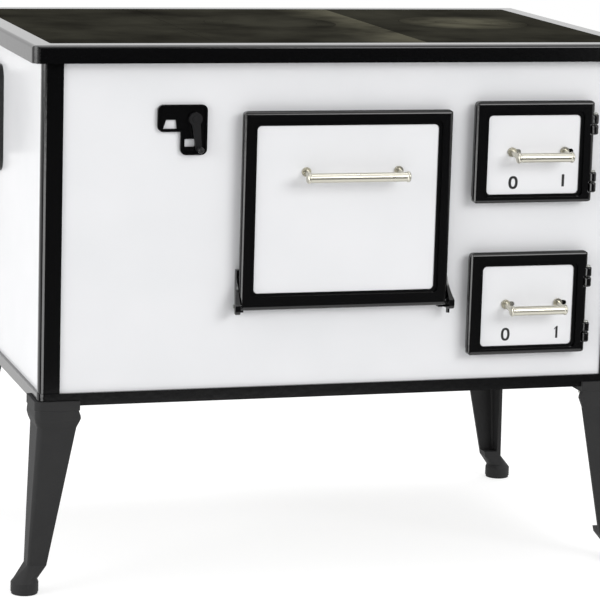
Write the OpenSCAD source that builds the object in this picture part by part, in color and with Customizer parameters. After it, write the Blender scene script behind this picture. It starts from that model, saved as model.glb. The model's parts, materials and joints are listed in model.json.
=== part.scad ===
// Solid-fuel range cooker of enamelled cast iron and sheet steel, standing on four cast legs.
// X runs to the right, Y to the back and Z up. The origin is on the floor, under the middle of
// the cooker's outline. Sizes are in millimetres.
//
// "Over the rail" means above the top face of the base rail. "From the right" means from the outer
// face of the right corner posts. "Under the top frame" means below its underside.

/* [Body] */
// Width of the body over the corner posts
body_w = 840; // [810:1:940]
// Depth of the body over the corner posts
body_d = 506; // [490:1:600]
// Height of the panels, from the base rail to the top frame
panel_h = 447; // [440:1:520]
// Thickness of the pressed corner posts
post_t = 3; // [2:0.5:4]
// Width of a corner post's front face
post_front = 28.5; // [24:0.5:32]
// Width of a corner post's side face
post_side = 12; // [11:1:20]
// Radius of a corner post's outer edge
post_r = 8; // [5:0.5:10]
// Thickness of the enamelled sheet-steel panels
sheet_t = 2; // [1.5:0.5:3]
// Distance from a panel's edge to the outer faces of the posts beside it
panel_edge = 10; // [8:1:13]

/* [Base and legs] */
// Height of the base rail
rail_h = 17.5; // [15:0.5:22]
// Thickness of the base rail's top web and outer lip
rail_t = 5; // [4:0.5:6]
// Width of the base rail's top web
rail_w = 34; // [32:1:44]
// How far the rail's upper band stands out past the posts
rail_proud = 1.5; // [0.5:0.5:2.5]
// Height of the rail's lower, set-back band
rail_band = 7.5; // [5:0.5:9]
// Height of the legs
leg_h = 260; // [220:1:300]
// Width of a leg's two flanges at the capital
leg_top_w = 60.5; // [56:0.5:64]
// How far the capital stands out past the posts
leg_proud = 4.5; // [3.5:0.5:6]
// Width of a leg's two flanges at the ankle
leg_ankle_w = 26.5; // [22:0.5:30]
// How far the ankle leans out to the side past the posts
leg_splay = 12.5; // [8:0.5:18]
// Wall of the cast legs
leg_wall = 7; // [5:0.5:9]
// Radius of the round foot
foot_r = 19; // [16:0.5:22]
// How far the foot's centre stands out past the side of the body
foot_out = 15; // [8:1:22]
// Distance of the tie bolts from the posts' outer faces
tie_inset = 20; // [17:1:23]
// Diameter of the tie bolts and leg bolts
bolt_d = 8; // [6:1:8]

/* [Top] */
// How far the top frame stands out past the posts
top_over = 16; // [10:1:22]
// Radius of the top frame's corners
top_r = 12; // [8:1:16]
// Radius of the top frame's upper edge
top_edge_r = 4.5; // [2:0.5:7]
// Thickness of the top frame
top_t = 24; // [21:0.5:28]
// Width of the frame border round the hot plates, measured inwards from the posts' outer faces
top_border = 12; // [8:1:16]
// Width of the ledge that the hot plates lie on
ledge_w = 12; // [8:1:16]
// Thickness of the hot plates
plate_t = 14; // [12:0.5:16]
// Gap between neighbouring hot plates, and between them and the frame
plate_gap = 1; // [0.6:0.1:2]
// Seam between the left and middle hot plates, from the right
seam_a = 600; // [578:1:612]
// Seam between the middle and right hot plates, from the right
seam_b = 300; // [280:1:318]
// Radius of the outer cooking rings
ring_r = 95; // [85:1:100]
// Distance of the ring centres behind the front panel
ring_y = 284; // [240:1:300]
// Centre of the middle cooking ring, from the right
ring_mid_x = 447; // [440:1:460]
// Centre of the right cooking ring, from the right
ring_right_x = 150; // [140:1:165]
// Width of each cooking ring, from its edge to the next ring or lid
ring_band = 27; // [20:1:28]
// Width of the seats under rings and lids
ring_seat = 5; // [4:0.5:7]
// Gap round each ring and lid
ring_gap = 0.5; // [0.3:0.1:1]
// Thickness of the lids
lid_t = 4; // [3:0.5:5]
// How much thicker each ring is than the ring or lid inside it
ring_step = 3; // [2:0.5:3.5]

/* [Doors] */
// Width of the door rims at their sides and tops
rim_w = 20; // [18:0.5:24]
// Width of the low step inside the rims
rim_step_w = 5; // [3:0.5:7]
// Radius of the doors' outer corners
door_r = 8; // [6:0.5:10]
// Radius of the corners of the white door panels
inset_r = 6; // [4:0.5:8]
// Radius of the doors' beaded edges
door_edge_r = 5.4; // [3:0.1:5.4]
// Thickness of the door castings
door_t = 12; // [11:0.5:14]
// How far the surrounds are set back behind the doors' edges
surround_inset = 4; // [2:0.5:4.5]
// Thickness of the surrounds that the doors close on
surround_t = 8; // [6:0.5:10]
// Thickness of the web behind the white panels
web_t = 3; // [2.5:0.5:3.5]
// Thickness of the white door panels
skin_t = 1.8; // [1.5:0.1:2.2]
// Wall of the sleeves that line the openings in the front panel
sleeve_t = 3; // [2:0.5:4]
// Length of the sleeves behind the front panel
sleeve_l = 4; // [3:0.5:8]
// Width of a surround between the door's edge and the opening
surround_w = 14; // [12:0.5:16]
// Clearance round the plugs on the backs of the doors
plug_gap = 5; // [3.5:0.5:7]
// Diameter of the hinge pins
pin_d = 5; // [4:0.5:6]
// Running clearance of pins and shafts in their bores
run_gap = 0.08; // [0.03:0.01:0.1]
// Diameter of the surround screws
screw_d = 5; // [4:0.5:5]

/* [Oven] */
// Width of the oven door
oven_w = 299; // [280:1:310]
// Height of the oven door
oven_h = 273; // [240:1:290]
// Centre of the oven door, from the right
oven_x = 418.5; // [415:0.5:428]
// Bottom of the oven door, over the rail
oven_z = 109; // [95:1:120]
// Width of the oven door's rim at its bottom
oven_foot = 23; // [20:1:28]
// Depth of the oven box
oven_d = 396; // [360:1:430]
// Height of the handle over the bottom of the oven door
oven_grip_z = 185; // [150:0.5:215]
// Length of the oven door's handle bar
oven_bar_l = 147; // [142:1:170]
// Offset of the oven door's handle from the middle of the door
oven_bar_dx = 7; // [-10:1:10]

/* [Fire side] */
// Width of the fire and ash doors
small_w = 176; // [165:1:180]
// Centre of the fire and ash doors, from the right
small_x = 148.5; // [145:0.5:155]
// Width of the rim at the bottom of the fire and ash doors
small_foot = 12; // [11:0.5:16]
// Height of the fire door
fire_h = 142.5; // [130:0.5:148]
// Top of the fire door, under the top frame
fire_z = 54; // [46:0.5:60]
// Height of the ash door
ash_h = 145.5; // [130:0.5:150]
// Bottom of the ash door, over the rail
ash_z = 36; // [28:0.5:44]
// Length of the small doors' handle bars
small_bar_l = 84; // [82:1:92]
// Offset of the small handles from the middle of their doors
small_bar_dx = 6.5; // [3:0.5:7]
// Height of the small handles over the bottoms of their doors
small_grip_z = 67; // [58:0.5:78]
// Travel of the air slides from 0, closed, to 1, open
slide_travel = 10; // [8:1:11]
// Width of the firebox casing's inside
casing_w = 228; // [222:1:234]
// Depth of the firebox casing's inside
casing_d = 396; // [360:1:430]
// Thickness of the firebricks
brick_t = 30; // [25:1:32]
// Depth of the grate's ledge below the bottom of the fire door
grate_z = 28.5; // [16:0.5:44]
// Height of the ash pan
pan_h = 64; // [50:1:90]

/* [Handles] */
// Diameter of the chromed handle bars
bar_d = 13; // [10:0.5:14]
// How far the handle bars' centre lines stand in front of the front panel
bar_out = 44; // [40:0.5:50]
// How much lower the bars lie than the feet of their posts
bar_drop = 4.5; // [0:0.5:6]

/* [Flue] */
// Outer diameter of the flue spigot
flue_d = 120; // [110:1:125]
// Wall of the flue spigot
flue_wall = 5; // [4:0.5:7]
// How far the spigot stands out past the left side of the body
flue_reach = 45; // [36:1:60]
// Side length of the spigot's square flange
flange_w = 152; // [148:1:160]
// Thickness of the flange
flange_t = 8; // [6:0.5:10]
// Distance of the spigot's centre line in front of the back posts' outer faces
flue_y = 153; // [133:1:173]
// Distance of the spigot's centre line under the top frame
flue_z = 111; // [102:1:122]
// Width of the flue box from front to back
flue_box_w = 190; // [175:1:200]
// Height of the flue box
flue_box_h = 136; // [132:1:145]
// Diameter of the damper's spindle
spindle_d = 10; // [8:0.5:12]
// Damper spindle, from the right
damper_x = 632; // [628:0.5:637]
// Damper spindle, under the top frame
damper_z = 76; // [71:0.5:81]

/* [Hidden] */
$fn = 64;
eps = 0.01;

// Colours
enamel_black = "#101011";
enamel_white = "#eceded";
iron = "#3a3a38";
plate_iron = "#33332f";
steel = "#8a8a86";
chrome = "#cfcfca";
firebrick = "#c9b184";
oven_grey = "#3f4246";

// Outline of the body and the main heights
foot_reach = foot_out + foot_r;
reach_left = max(foot_reach, top_over, flue_reach);
reach_right = max(foot_reach, top_over);
cap_extra = 1;
reach_front = bar_out + bar_d / 2 + cap_extra - post_t;
left = (reach_left - reach_right - body_w) / 2;
right = left + body_w;
front = (reach_front - top_over - body_d) / 2;
back = front + body_d;
face = front + post_t;
inner_face = face + sheet_t;
rail_z = leg_h + rail_h;
top_z = rail_z + panel_h;
cook_z = top_z + top_t;
seat_z = cook_z - plate_t;
fit = 0.3;
corner_signs = [for (sx = [0, 1], sy = [0, 1]) [sx, sy]];

// A rectangle is [left, bottom, width, height] on the front panel, seen from the front.
function door_rect(x, z, w, h) = [right - x - w / 2, z, w, h];
function shrink(r, side, bottom, top) =
    [r[0] + side, r[1] + bottom, r[2] - 2 * side, r[3] - bottom - top];
function grow(r, by) = shrink(r, -by, -by, -by);

oven = door_rect(oven_x, rail_z + oven_z, oven_w, oven_h);
fire = door_rect(small_x, top_z - fire_z - fire_h, small_w, fire_h);
ash = door_rect(small_x, rail_z + ash_z, small_w, ash_h);
oven_hole = shrink(oven, surround_w + 2, surround_w + 2, surround_w + 2);
fire_hole = shrink(fire, surround_w, surround_w - 2, surround_w);
ash_hole = shrink(ash, surround_w, surround_w - 2, surround_w);

// Planes of the doors, counted forwards from the front panel
door_back = face - surround_t;
door_front = door_back - door_t;
web_face = door_back - web_t;
slide_t = 2;
slide_gap = 0.3;
slide_face = web_face - slide_t - slide_gap;
skin_back = slide_face - slide_gap;
skin_face = skin_back - skin_t;

// Hinges: the oven door turns at its bottom edge, the small doors at their right edges
pin_r = pin_d / 2;
bore_r = pin_r + run_gap;
knuckle_r = 5.5;
knuckle_l = 14;
oven_axis_y = door_back - door_t / 2;
oven_axis_z = oven[1] + door_t / 2;
ear_w = 7.5;
ear_gap = 0.5;
small_axis_x = fire[0] + fire[2] + 0.5;
small_axis_y = door_back - 9;
fire_knuckles = [28, 109];
ash_knuckles = [29, 108];

// Vertical cuts of the interior
casing_t = 3;
casing_inset = 35;
casing_right = right - casing_inset;
casing_left = casing_right - casing_w;
casing_front = inner_face;
casing_back = casing_front + casing_t + casing_d;
casing_gap = 10;
casing_top = seat_z - casing_gap;
brick_front = casing_front + 24;
brick_z = fire[1] - grate_z;
brick_top = casing_top - 47;
grate_gap = 0.5;
grate_t = 10;
grate_bearing = 8;
pan_t = 2;
pan_floor = ash_hole[1];
oven_wall = 2;
oven_back = inner_face + oven_d;
sleeve_gap = 0.4;
oven_inner = grow(oven_hole, sleeve_t + sleeve_gap);

// Flue way and damper
flue_axis = [back - flue_y, top_z - flue_z];
flue_floor = flue_axis[1] - flue_box_h / 2;
flue_sheet = 2;
spindle_r = spindle_d / 2;
spindle_x = right - damper_x;
spindle_z = top_z - damper_z;
flap_l = 88;
damper_t = 5;
damper_boss_t = 3;

module block(from, to) {
    translate(from)
        cube(to - from);
}

// Extrudes a drawing of X and Z forwards from the plane y
module on_front(y, depth) {
    translate([0, y, 0])
        rotate([90, 0, 0])
            linear_extrude(depth)
                children();
}

// Extrudes a drawing of Y and Z to the right from the plane x
module on_side(x, depth) {
    translate([x, 0, 0])
        rotate([90, 0, 90])
            linear_extrude(depth)
                children();
}

module round_rect(r, radius) {
    translate([r[0] + radius, r[1]])
        square([r[2] - 2 * radius, r[3]]);
    translate([r[0], r[1] + radius])
        square([r[2], r[3] - 2 * radius]);
    for (x = [radius, r[2] - radius], y = [radius, r[3] - radius])
        translate([r[0] + x, r[1] + y])
            circle(radius);
}

// A rectangle whose two corners at its low X side are rounded
module half_round_rect(r, radius) {
    translate([r[0] + radius, r[1]])
        square([r[2] - radius, r[3]]);
    translate([r[0], r[1] + radius])
        square([radius + 1, r[3] - 2 * radius]);
    for (y = [radius, r[3] - radius])
        translate([r[0] + radius, r[1] + y])
            circle(radius);
}

// Section of a slab of width w and height h, its upper edges rounded, and its lower ones too if
// it is beaded
module slab_section(w, h, edge_r, beaded) {
    rotate(-90)
        if (beaded)
            round_rect([-h, 0, h, w], edge_r);
        else
            half_round_rect([-h, 0, h + 1, w], edge_r);
}

// A slab of size [x, y, z] with rounded corners in plan and rounded edges all round
module soft_slab(size, corner_r, edge_r, beaded) {
    intersection() {
        linear_extrude(size[2])
            round_rect([0, 0, size[0], size[1]], corner_r);
        translate([0, size[1] + 1, 0])
            rotate([90, 0, 0])
                linear_extrude(size[1] + 2)
                    slab_section(size[0], size[2], edge_r, beaded);
        translate([-1, 0, 0])
            rotate([90, 0, 90])
                linear_extrude(size[0] + 2)
                    slab_section(size[1], size[2], edge_r, beaded);
    }
}

module rod(from, length, radius, direction) {
    translate(from)
        rotate(direction)
            cylinder(h = length, r = radius);
}

along_x = [0, 90, 0];
along_y = [-90, 0, 0];
along_z = [0, 0, 0];

// Repeats its child at the four corners of the body, mirrored so that it always faces outwards
module corner(sx, sy) {
    translate([sx == 0 ? left : right, sy == 0 ? front : back, 0])
        mirror([sx, 0, 0])
            mirror([0, sy, 0])
                children();
}

// ---------- Base ----------

rail_pad = 62;

module base_frame() {
    outline = [left, front, body_w, body_d];
    color(enamel_black)
        difference() {
            union() {
                translate([0, 0, leg_h + rail_band])
                    linear_extrude(rail_h - rail_band)
                        round_rect(grow(outline, rail_proud), post_r + rail_proud);
                translate([0, 0, leg_h])
                    linear_extrude(rail_band)
                        round_rect(outline, post_r);
            }
            translate([0, 0, leg_h - 1])
                linear_extrude(rail_h + 2)
                    round_rect(grow(outline, -rail_w), 4);
            // Hollow underneath, left solid at the corners for the legs
            difference() {
                translate([0, 0, leg_h - 1])
                    linear_extrude(rail_h - rail_t + 1)
                        round_rect(grow(outline, -rail_t), 4);
                for (c = corner_signs)
                    corner(c[0], c[1])
                        translate([0, 0, leg_h - 2])
                            cube([rail_pad, rail_pad, rail_h]);
            }
            // Rebate for the bottom plate
            translate([0, 0, rail_z - sheet_t])
                linear_extrude(sheet_t + 1)
                    round_rect(grow(outline, -rail_w + 6), 4);
            for (c = corner_signs)
                corner(c[0], c[1]) {
                    rod([tie_inset, tie_inset, leg_h - 1], rail_h + 2, bolt_d / 2 + fit, along_z);
                    leg_bolt_places()
                        translate([0, 0, leg_h - 1])
                            cylinder(h = 13, r = bolt_d / 2 + fit);
                }
        }
}

module bottom_plate() {
    outline = [left, front, body_w, body_d];
    color(steel)
        translate([0, 0, rail_z - sheet_t])
            linear_extrude(sheet_t)
                round_rect(grow(outline, -rail_w + 6 - fit), 4);
}

module leg_bolt_places() {
    for (p = [[tie_inset, 44], [44, tie_inset]])
        translate(p)
            children();
}

// Section of a leg: a square of width w whose outer corner, at [x, y], is rounded
module leg_slice(x, y, w, z, r) {
    translate([x, y, z])
        linear_extrude(slice_t) {
            translate([r, r])
                circle(r, $fn = 40);
            for (c = [[1, w - 1], [w - 1, 1], [w - 1, w - 1]])
                translate(c)
                    circle(1, $fn = 16);
        }
}

slice_t = 0.4;
leg_flange_t = 8;
ankle_z = 38;
shoulder_z = 30;
shoulder = -0.8;
shoulder_w = leg_top_w - 7.5;
lip_z = 6.4;

module leg() {
    top = leg_h;
    cap = -leg_proud;
    ankle_x = -leg_splay;
    ankle_y = 2;
    foot_y = ankle_y + 6;
    difference() {
        union() {
            // Lip of the capital, which covers the rail's lower band
            hull() {
                leg_slice(cap - 1, cap - 1, leg_top_w + 1, top + rail_band - fit - slice_t, 9);
                leg_slice(cap - 1, cap - 1, leg_top_w + 1, top - lip_z + 1.4, 9);
                leg_slice(cap, cap, leg_top_w - 1.5, top - lip_z, 9);
            }
            // Capital, swelling and then drawn in to the shaft
            hull() {
                leg_slice(cap, cap, leg_top_w - 1.5, top - lip_z, 9);
                leg_slice(cap - 0.3, cap - 0.3, leg_top_w + 1.3, top - 13, 9);
                leg_slice(cap - 0.3, cap - 0.3, leg_top_w + 1.8, top - 17, 9);
                leg_slice(cap + 1, cap + 1, leg_top_w - 2, top - 23, 8.5);
                leg_slice(shoulder, shoulder, shoulder_w, top - shoulder_z, 8);
            }
            hull() {
                leg_slice(shoulder, shoulder, shoulder_w, top - shoulder_z, 8);
                leg_slice(ankle_x, ankle_y, leg_ankle_w, ankle_z, 4);
            }
            // Foot: the ankle flares out into a round pad
            hull() {
                leg_slice(ankle_x, ankle_y, leg_ankle_w, ankle_z, 4);
                translate([-foot_out + 1, foot_y, 20])
                    cylinder(h = 1, r = foot_r - 3, $fn = 32);
            }
            hull() {
                translate([-foot_out, foot_y, 3])
                    cylinder(h = 13, r = foot_r, $fn = 32);
                translate([-foot_out + 1, foot_y, 20])
                    cylinder(h = 1, r = foot_r - 3, $fn = 32);
            }
            translate([-foot_out, foot_y, 0])
                cylinder(h = 3.5, r = foot_r - 1);
        }
        // Room for the rail's lower band
        translate([0, 0, top])
            linear_extrude(rail_h)
                round_rect([-fit, -fit, 2 * leg_top_w, 2 * leg_top_w], post_r + fit);
        // The top flange follows the rail's inner edge
        translate([0, 0, top - leg_flange_t - 1])
            linear_extrude(leg_flange_t + 2)
                round_rect([rail_w, rail_w, leg_top_w, leg_top_w], 4);
        // The casting is open towards the middle of the cooker
        hull() {
            leg_slice(leg_wall - 3.5, leg_wall - 3.5, leg_top_w, top - leg_flange_t - slice_t, 5);
            leg_slice(shoulder + leg_wall, shoulder + leg_wall, leg_top_w, top - shoulder_z, 5);
            leg_slice(ankle_x + leg_wall, ankle_y + leg_wall, leg_top_w, ankle_z + 8, 3);
        }
        rod([tie_inset, tie_inset, top - 20], 30, bolt_d / 2 + fit, along_z);
        leg_bolt_places()
            translate([0, 0, top - 20])
                cylinder(h = 30, r = bolt_d / 2 + fit);
    }
}

module leg_front_left() {
    color(iron)
        corner(0, 0)
            leg();
}

module leg_front_right() {
    color(iron)
        corner(1, 0)
            leg();
}

module leg_rear_left() {
    color(iron)
        corner(0, 1)
            leg();
}

module leg_rear_right() {
    color(iron)
        corner(1, 1)
            leg();
}

head_h = 5.5;

module hex_head(d) {
    cylinder(h = head_h, r = d * 0.92, $fn = 6);
}

// A bolt standing on its head under the flange of a leg, with a shank of the length l above it
module frame_bolt(l) {
    translate([0, 0, leg_h - leg_flange_t]) {
        cylinder(h = leg_flange_t + l, r = bolt_d / 2);
        translate([0, 0, -head_h])
            hex_head(bolt_d);
    }
}

tie_grip = 7;

// Two short bolts hold each leg to the base rail, and a long tie bolt runs up to the top frame
module frame_bolts() {
    color(steel)
        for (c = corner_signs)
            corner(c[0], c[1]) {
                leg_bolt_places()
                    frame_bolt(11);
                translate([tie_inset, tie_inset, 0])
                    frame_bolt(rail_h + panel_h + tie_grip);
            }
}

// ---------- Shell ----------

// Pressed angle with a rounded outer edge, standing on the base rail
module post() {
    color(enamel_black)
        translate([0, 0, rail_z])
            linear_extrude(panel_h)
                difference() {
                    square([post_front, post_side]);
                    translate([post_t, post_t])
                        square([post_front, post_side]);
                    difference() {
                        translate([-1, -1])
                            square(post_r + 1);
                        translate([post_r, post_r])
                            circle(post_r);
                    }
                }
}

module post_front_left() {
    corner(0, 0)
        post();
}

module post_front_right() {
    corner(1, 0)
        post();
}

module post_rear_left() {
    corner(0, 1)
        post();
}

module post_rear_right() {
    corner(1, 1)
        post();
}

module screw_places(r) {
    inset = surround_inset + 5;
    for (x = [r[0] + inset, r[0] + r[2] - inset], z = [r[1] + inset, r[1] + r[3] - inset])
        translate([x, 0, z])
            children();
}

module front_panel() {
    color(enamel_white)
        difference() {
            block([left + panel_edge, face, rail_z], [right - panel_edge, inner_face, top_z]);
            for (r = [oven_hole, fire_hole, ash_hole])
                on_front(inner_face + 1, sheet_t + 2)
                    round_rect(grow(r, sleeve_t + 0.5), 4);
            for (r = [oven, fire, ash])
                screw_places(r)
                    rod([0, face - 1, 0], sheet_t + 2, screw_d / 2 + fit, along_y);
            rod([spindle_x, face - 1, spindle_z], sheet_t + 2, spindle_r + 1, along_y);
            damper_stud_places()
                rod([0, face - 1, 0], sheet_t + 2, damper_stud_r + fit, along_y);
        }
}

// Corners of the flange's bolt square, as offsets from the flue's centre line
module flange_bolt_places() {
    reach = flange_w / 2 - 12;
    for (y = [-reach, reach], z = [-reach, reach])
        translate([0, flue_axis[0] + y, flue_axis[1] + z])
            children();
}

module left_panel() {
    color(enamel_white)
        difference() {
            block([left + post_t, front + panel_edge, rail_z],
                  [left + post_t + sheet_t, back - panel_edge, top_z]);
            rod([left, flue_axis[0], flue_axis[1]], 20, flue_d / 2 + 1, along_x);
            flange_bolt_places()
                rod([left, 0, 0], 20, 3 + fit, along_x);
        }
}

module right_panel() {
    color(enamel_white)
        block([right - post_t - sheet_t, front + panel_edge, rail_z],
              [right - post_t, back - panel_edge, top_z]);
}

module back_panel() {
    color(steel)
        block([left + panel_edge, back - post_t - sheet_t, rail_z],
              [right - panel_edge, back - post_t, top_z]);
}

// ---------- Top ----------

bearer_w = 24;
bearer_t = 7;
bearer_grip = 8;
corner_pad = 36;

module top_frame() {
    outline = [left, front, body_w, body_d];
    color(enamel_black)
        difference() {
            translate([left - top_over, front - top_over, top_z])
                soft_slab([body_w + 2 * top_over, body_d + 2 * top_over, top_t], top_r, top_edge_r,
                          false);
            translate([0, 0, seat_z])
                linear_extrude(plate_t + 1)
                    round_rect(grow(outline, -top_border), 4);
            difference() {
                translate([0, 0, top_z - 1])
                    linear_extrude(top_t)
                        round_rect(grow(outline, -top_border - ledge_w), 4);
                for (c = corner_signs)
                    corner(c[0], c[1])
                        translate([0, 0, top_z - 2])
                            cube([corner_pad, corner_pad, top_t]);
            }
            for (c = corner_signs)
                corner(c[0], c[1])
                    rod([tie_inset, tie_inset, top_z - 1], tie_grip + 1.5, bolt_d / 2 + fit,
                        along_z);
            for (x = [right - seam_a, right - seam_b])
                block([x - bearer_w / 2 - fit, bearer_front - fit, seat_z - bearer_t],
                      [x + bearer_w / 2 + fit, bearer_back + fit, cook_z]);
        }
}

bearer_front = front + top_border + ledge_w - bearer_grip;
bearer_back = back - top_border - ledge_w + bearer_grip;

// Tee bars across the frame that carry the meeting edges of the hot plates
module plate_bearers() {
    rib_t = 6;
    rib_h = 14;
    color(iron)
        for (x = [right - seam_a, right - seam_b])
            translate([x, 0, seat_z - bearer_t]) {
                block([-bearer_w / 2, bearer_front, 0], [bearer_w / 2, bearer_back, bearer_t]);
                block([-rib_t / 2, bearer_front + bearer_grip + 4, -rib_h],
                      [rib_t / 2, bearer_back - bearer_grip - 4, eps]);
            }
}

plate_left = left + top_border + plate_gap;
plate_right = right - top_border - plate_gap;
plate_front = front + top_border + plate_gap;
plate_back = back - top_border - plate_gap;
ring_centre_y = face + ring_y;

module hot_plate(x_from, x_to) {
    translate([0, 0, seat_z])
        linear_extrude(plate_t)
            round_rect([x_from, plate_front, x_to - x_from, plate_back - plate_front], 2);
}

// A round seat in a plate or ring: the way through, and the wider rebate of depth t above it
module seat_cut(r, t) {
    translate([0, 0, cook_z - plate_t - 1])
        cylinder(h = plate_t + 2, r = r - ring_seat, $fn = 96);
    translate([0, 0, cook_z - t])
        cylinder(h = t + 1, r = r + ring_gap, $fn = 96);
}

// The blank of a ring or lid of radius r and thickness t
module cook_disc(r, t) {
    translate([0, 0, cook_z - t])
        cylinder(h = t, r = r, $fn = 96);
}

module hot_plate_left() {
    color(plate_iron)
        hot_plate(plate_left, right - seam_a - plate_gap / 2);
}

module hot_plate_middle() {
    color(plate_iron)
        difference() {
            hot_plate(right - seam_a + plate_gap / 2, right - seam_b - plate_gap / 2);
            translate([right - ring_mid_x, ring_centre_y, 0])
                seat_cut(ring_r, lid_t + ring_step);
        }
}

module hot_plate_right() {
    color(plate_iron)
        difference() {
            hot_plate(right - seam_b + plate_gap / 2, plate_right);
            translate([right - ring_right_x, ring_centre_y, 0])
                seat_cut(ring_r, lid_t + 2 * ring_step);
        }
}

// A lid has a slot that the lifting iron hooks into
module lid(r) {
    difference() {
        cook_disc(r, lid_t);
        translate([0, r * 0.55, cook_z - lid_t - 1])
            linear_extrude(lid_t + 2)
                round_rect([-7, -2, 14, 4], 1.9);
    }
}

module middle_ring() {
    color(plate_iron)
        translate([right - ring_mid_x, ring_centre_y, 0])
            difference() {
                cook_disc(ring_r, lid_t + ring_step);
                seat_cut(ring_r - ring_band, lid_t);
            }
}

module middle_lid() {
    color(plate_iron)
        translate([right - ring_mid_x, ring_centre_y, 0])
            lid(ring_r - ring_band);
}

module right_outer_ring() {
    color(plate_iron)
        translate([right - ring_right_x, ring_centre_y, 0])
            difference() {
                cook_disc(ring_r, lid_t + 2 * ring_step);
                seat_cut(ring_r - ring_band, lid_t + ring_step);
            }
}

module right_inner_ring() {
    color(plate_iron)
        translate([right - ring_right_x, ring_centre_y, 0])
            difference() {
                cook_disc(ring_r - ring_band, lid_t + ring_step);
                seat_cut(ring_r - 2 * ring_band, lid_t);
            }
}

module right_lid() {
    color(plate_iron)
        translate([right - ring_right_x, ring_centre_y, 0])
            lid(ring_r - 2 * ring_band);
}

// ---------- Doors and surrounds ----------

// Frame on the front panel with a sleeve through it, countersunk for four screws
module surround(r, hole) {
    difference() {
        union() {
            on_front(face, surround_t)
                round_rect(grow(r, -surround_inset), 5);
            on_front(inner_face + sleeve_l, sheet_t + sleeve_l + eps)
                round_rect(grow(hole, sleeve_t), 4);
            children();
        }
        on_front(inner_face + sleeve_l + 1, sheet_t + sleeve_l + surround_t + 2)
            round_rect(hole, 3);
        screw_places(r) {
            rod([0, door_back - 1, 0], surround_t + 2, screw_d / 2 + fit, along_y);
            translate([0, door_back, 0])
                rotate(along_y)
                    cylinder(h = 3.2, r1 = screw_d * 0.92 + 0.1, r2 = screw_d / 2);
        }
    }
}

// Casting of a door: a rounded rim, a low step inside it, and a web behind the white panel.
// bottom is the width of the rim along its lower edge.
module door_casting(r, bottom) {
    difference() {
        translate([r[0], door_back, r[1]])
            rotate([90, 0, 0])
                soft_slab([r[2], r[3], door_t], door_r, door_edge_r, true);
        on_front(door_front + 3, 4)
            round_rect(shrink(r, rim_w - rim_step_w, bottom - rim_step_w + 1,
                              rim_w - rim_step_w), inset_r + 1);
        on_front(skin_back, door_t)
            round_rect(shrink(r, rim_w, bottom, rim_w), inset_r);
    }
}

// Bow handle: a bar with capped ends on two posts that rise slightly towards the door at y.
// The posts spring from within their round feet.
module bow_handle(x, z, length, post_gap, y) {
    bar_y = face - bar_out;
    foot_y = y - foot_t / 2;
    bar_r = bar_d / 2;
    cap_r = bar_r + cap_extra;
    translate([x, bar_y, z])
        rotate(along_x)
            rotate_extrude() {
                translate([0, -length / 2 + 2])
                    square([bar_r, length - 4]);
                for (s = [-1, 1])
                    translate([0, s * (length / 2 - 3)])
                        intersection() {
                            translate([0, -3])
                                square([cap_r, 6]);
                            translate([cap_r - 3, 0])
                                union() {
                                    circle(3);
                                    translate([-cap_r, -3])
                                        square([cap_r, 6]);
                                }
                        }
            }
    for (s = [-1, 1])
        translate([x + s * post_gap / 2, foot_y, z + bar_drop])
            rotate([90 + atan2(bar_drop, foot_y - bar_y), 0, 0])
                cylinder(h = norm([foot_y - bar_y, bar_drop]), r = 3.4);
}

foot_t = 2.5;

// Round foot of a handle post on a door
module rosette(x, z, y) {
    rod([x, y - foot_t, z], foot_t, 6.5, along_y);
}

ear_front = door_front - 8;
ear_foot = -4;
ear_full = 9;
ear_h = 55;

// Radius of the arc that starts upright and leans over by d within the height h
function flare_r(d, h) = (d * d + h * h) / (2 * d);

// Lug at the right lower corner of the oven door, which flares outwards and forwards to its foot.
// Its origin is on the door's side and level with the door's bottom.
module ear() {
    slim = 0.8;
    slim_y = door_back - 1;
    side_r = flare_r(slim_y - ear_front, ear_h - ear_full);
    face_r = flare_r(ear_w - slim, ear_h - ear_full);
    difference() {
        intersection() {
            on_side(0, ear_w)
                difference() {
                    half_round_rect([ear_front, ear_foot, face - ear_front, ear_h - ear_foot], 5);
                    translate([slim_y - side_r, ear_h])
                        circle(side_r, $fn = 180);
                }
            on_front(face, face - ear_front)
                difference() {
                    mirror([1, 0])
                        half_round_rect([-ear_w, ear_foot, ear_w, ear_h - ear_foot], 3);
                    translate([slim + face_r, ear_h])
                        circle(face_r, $fn = 180);
                }
            translate([0, 0, ear_foot - 1])
                linear_extrude(ear_h - ear_foot + 2)
                    polygon([[0, ear_front - 1], [ear_w + 1, ear_front - 1],
                             [ear_w, ear_front + 4], [2 * slim, face], [0, face]]);
        }
        rod([-1, oven_axis_y, oven_axis_z - oven[1]], ear_w + 2, bore_r, along_x);
    }
    // Foot of the lug on the surround
    block([-ear_gap - surround_inset - 5, door_back, ear_foot], [2 * slim, face, ear_h]);
}

module oven_ears() {
    for (s = [0, 1])
        translate([s == 0 ? oven[0] - ear_gap : oven[0] + oven[2] + ear_gap, 0, oven[1]])
            mirror([1 - s, 0, 0])
                ear();
    // Stub under the right lug
    rod([oven[0] + oven[2] + ear_gap + 3, oven_axis_y, oven[1] + ear_foot - 7], 8, 2.5, along_z);
}

module oven_surround() {
    color(enamel_black)
        surround(oven, oven_hole)
            oven_ears();
}

oven_bolt_gap = 132;
oven_grip = [right - oven_x + oven_bar_dx, oven[1] + oven_grip_z];

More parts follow.
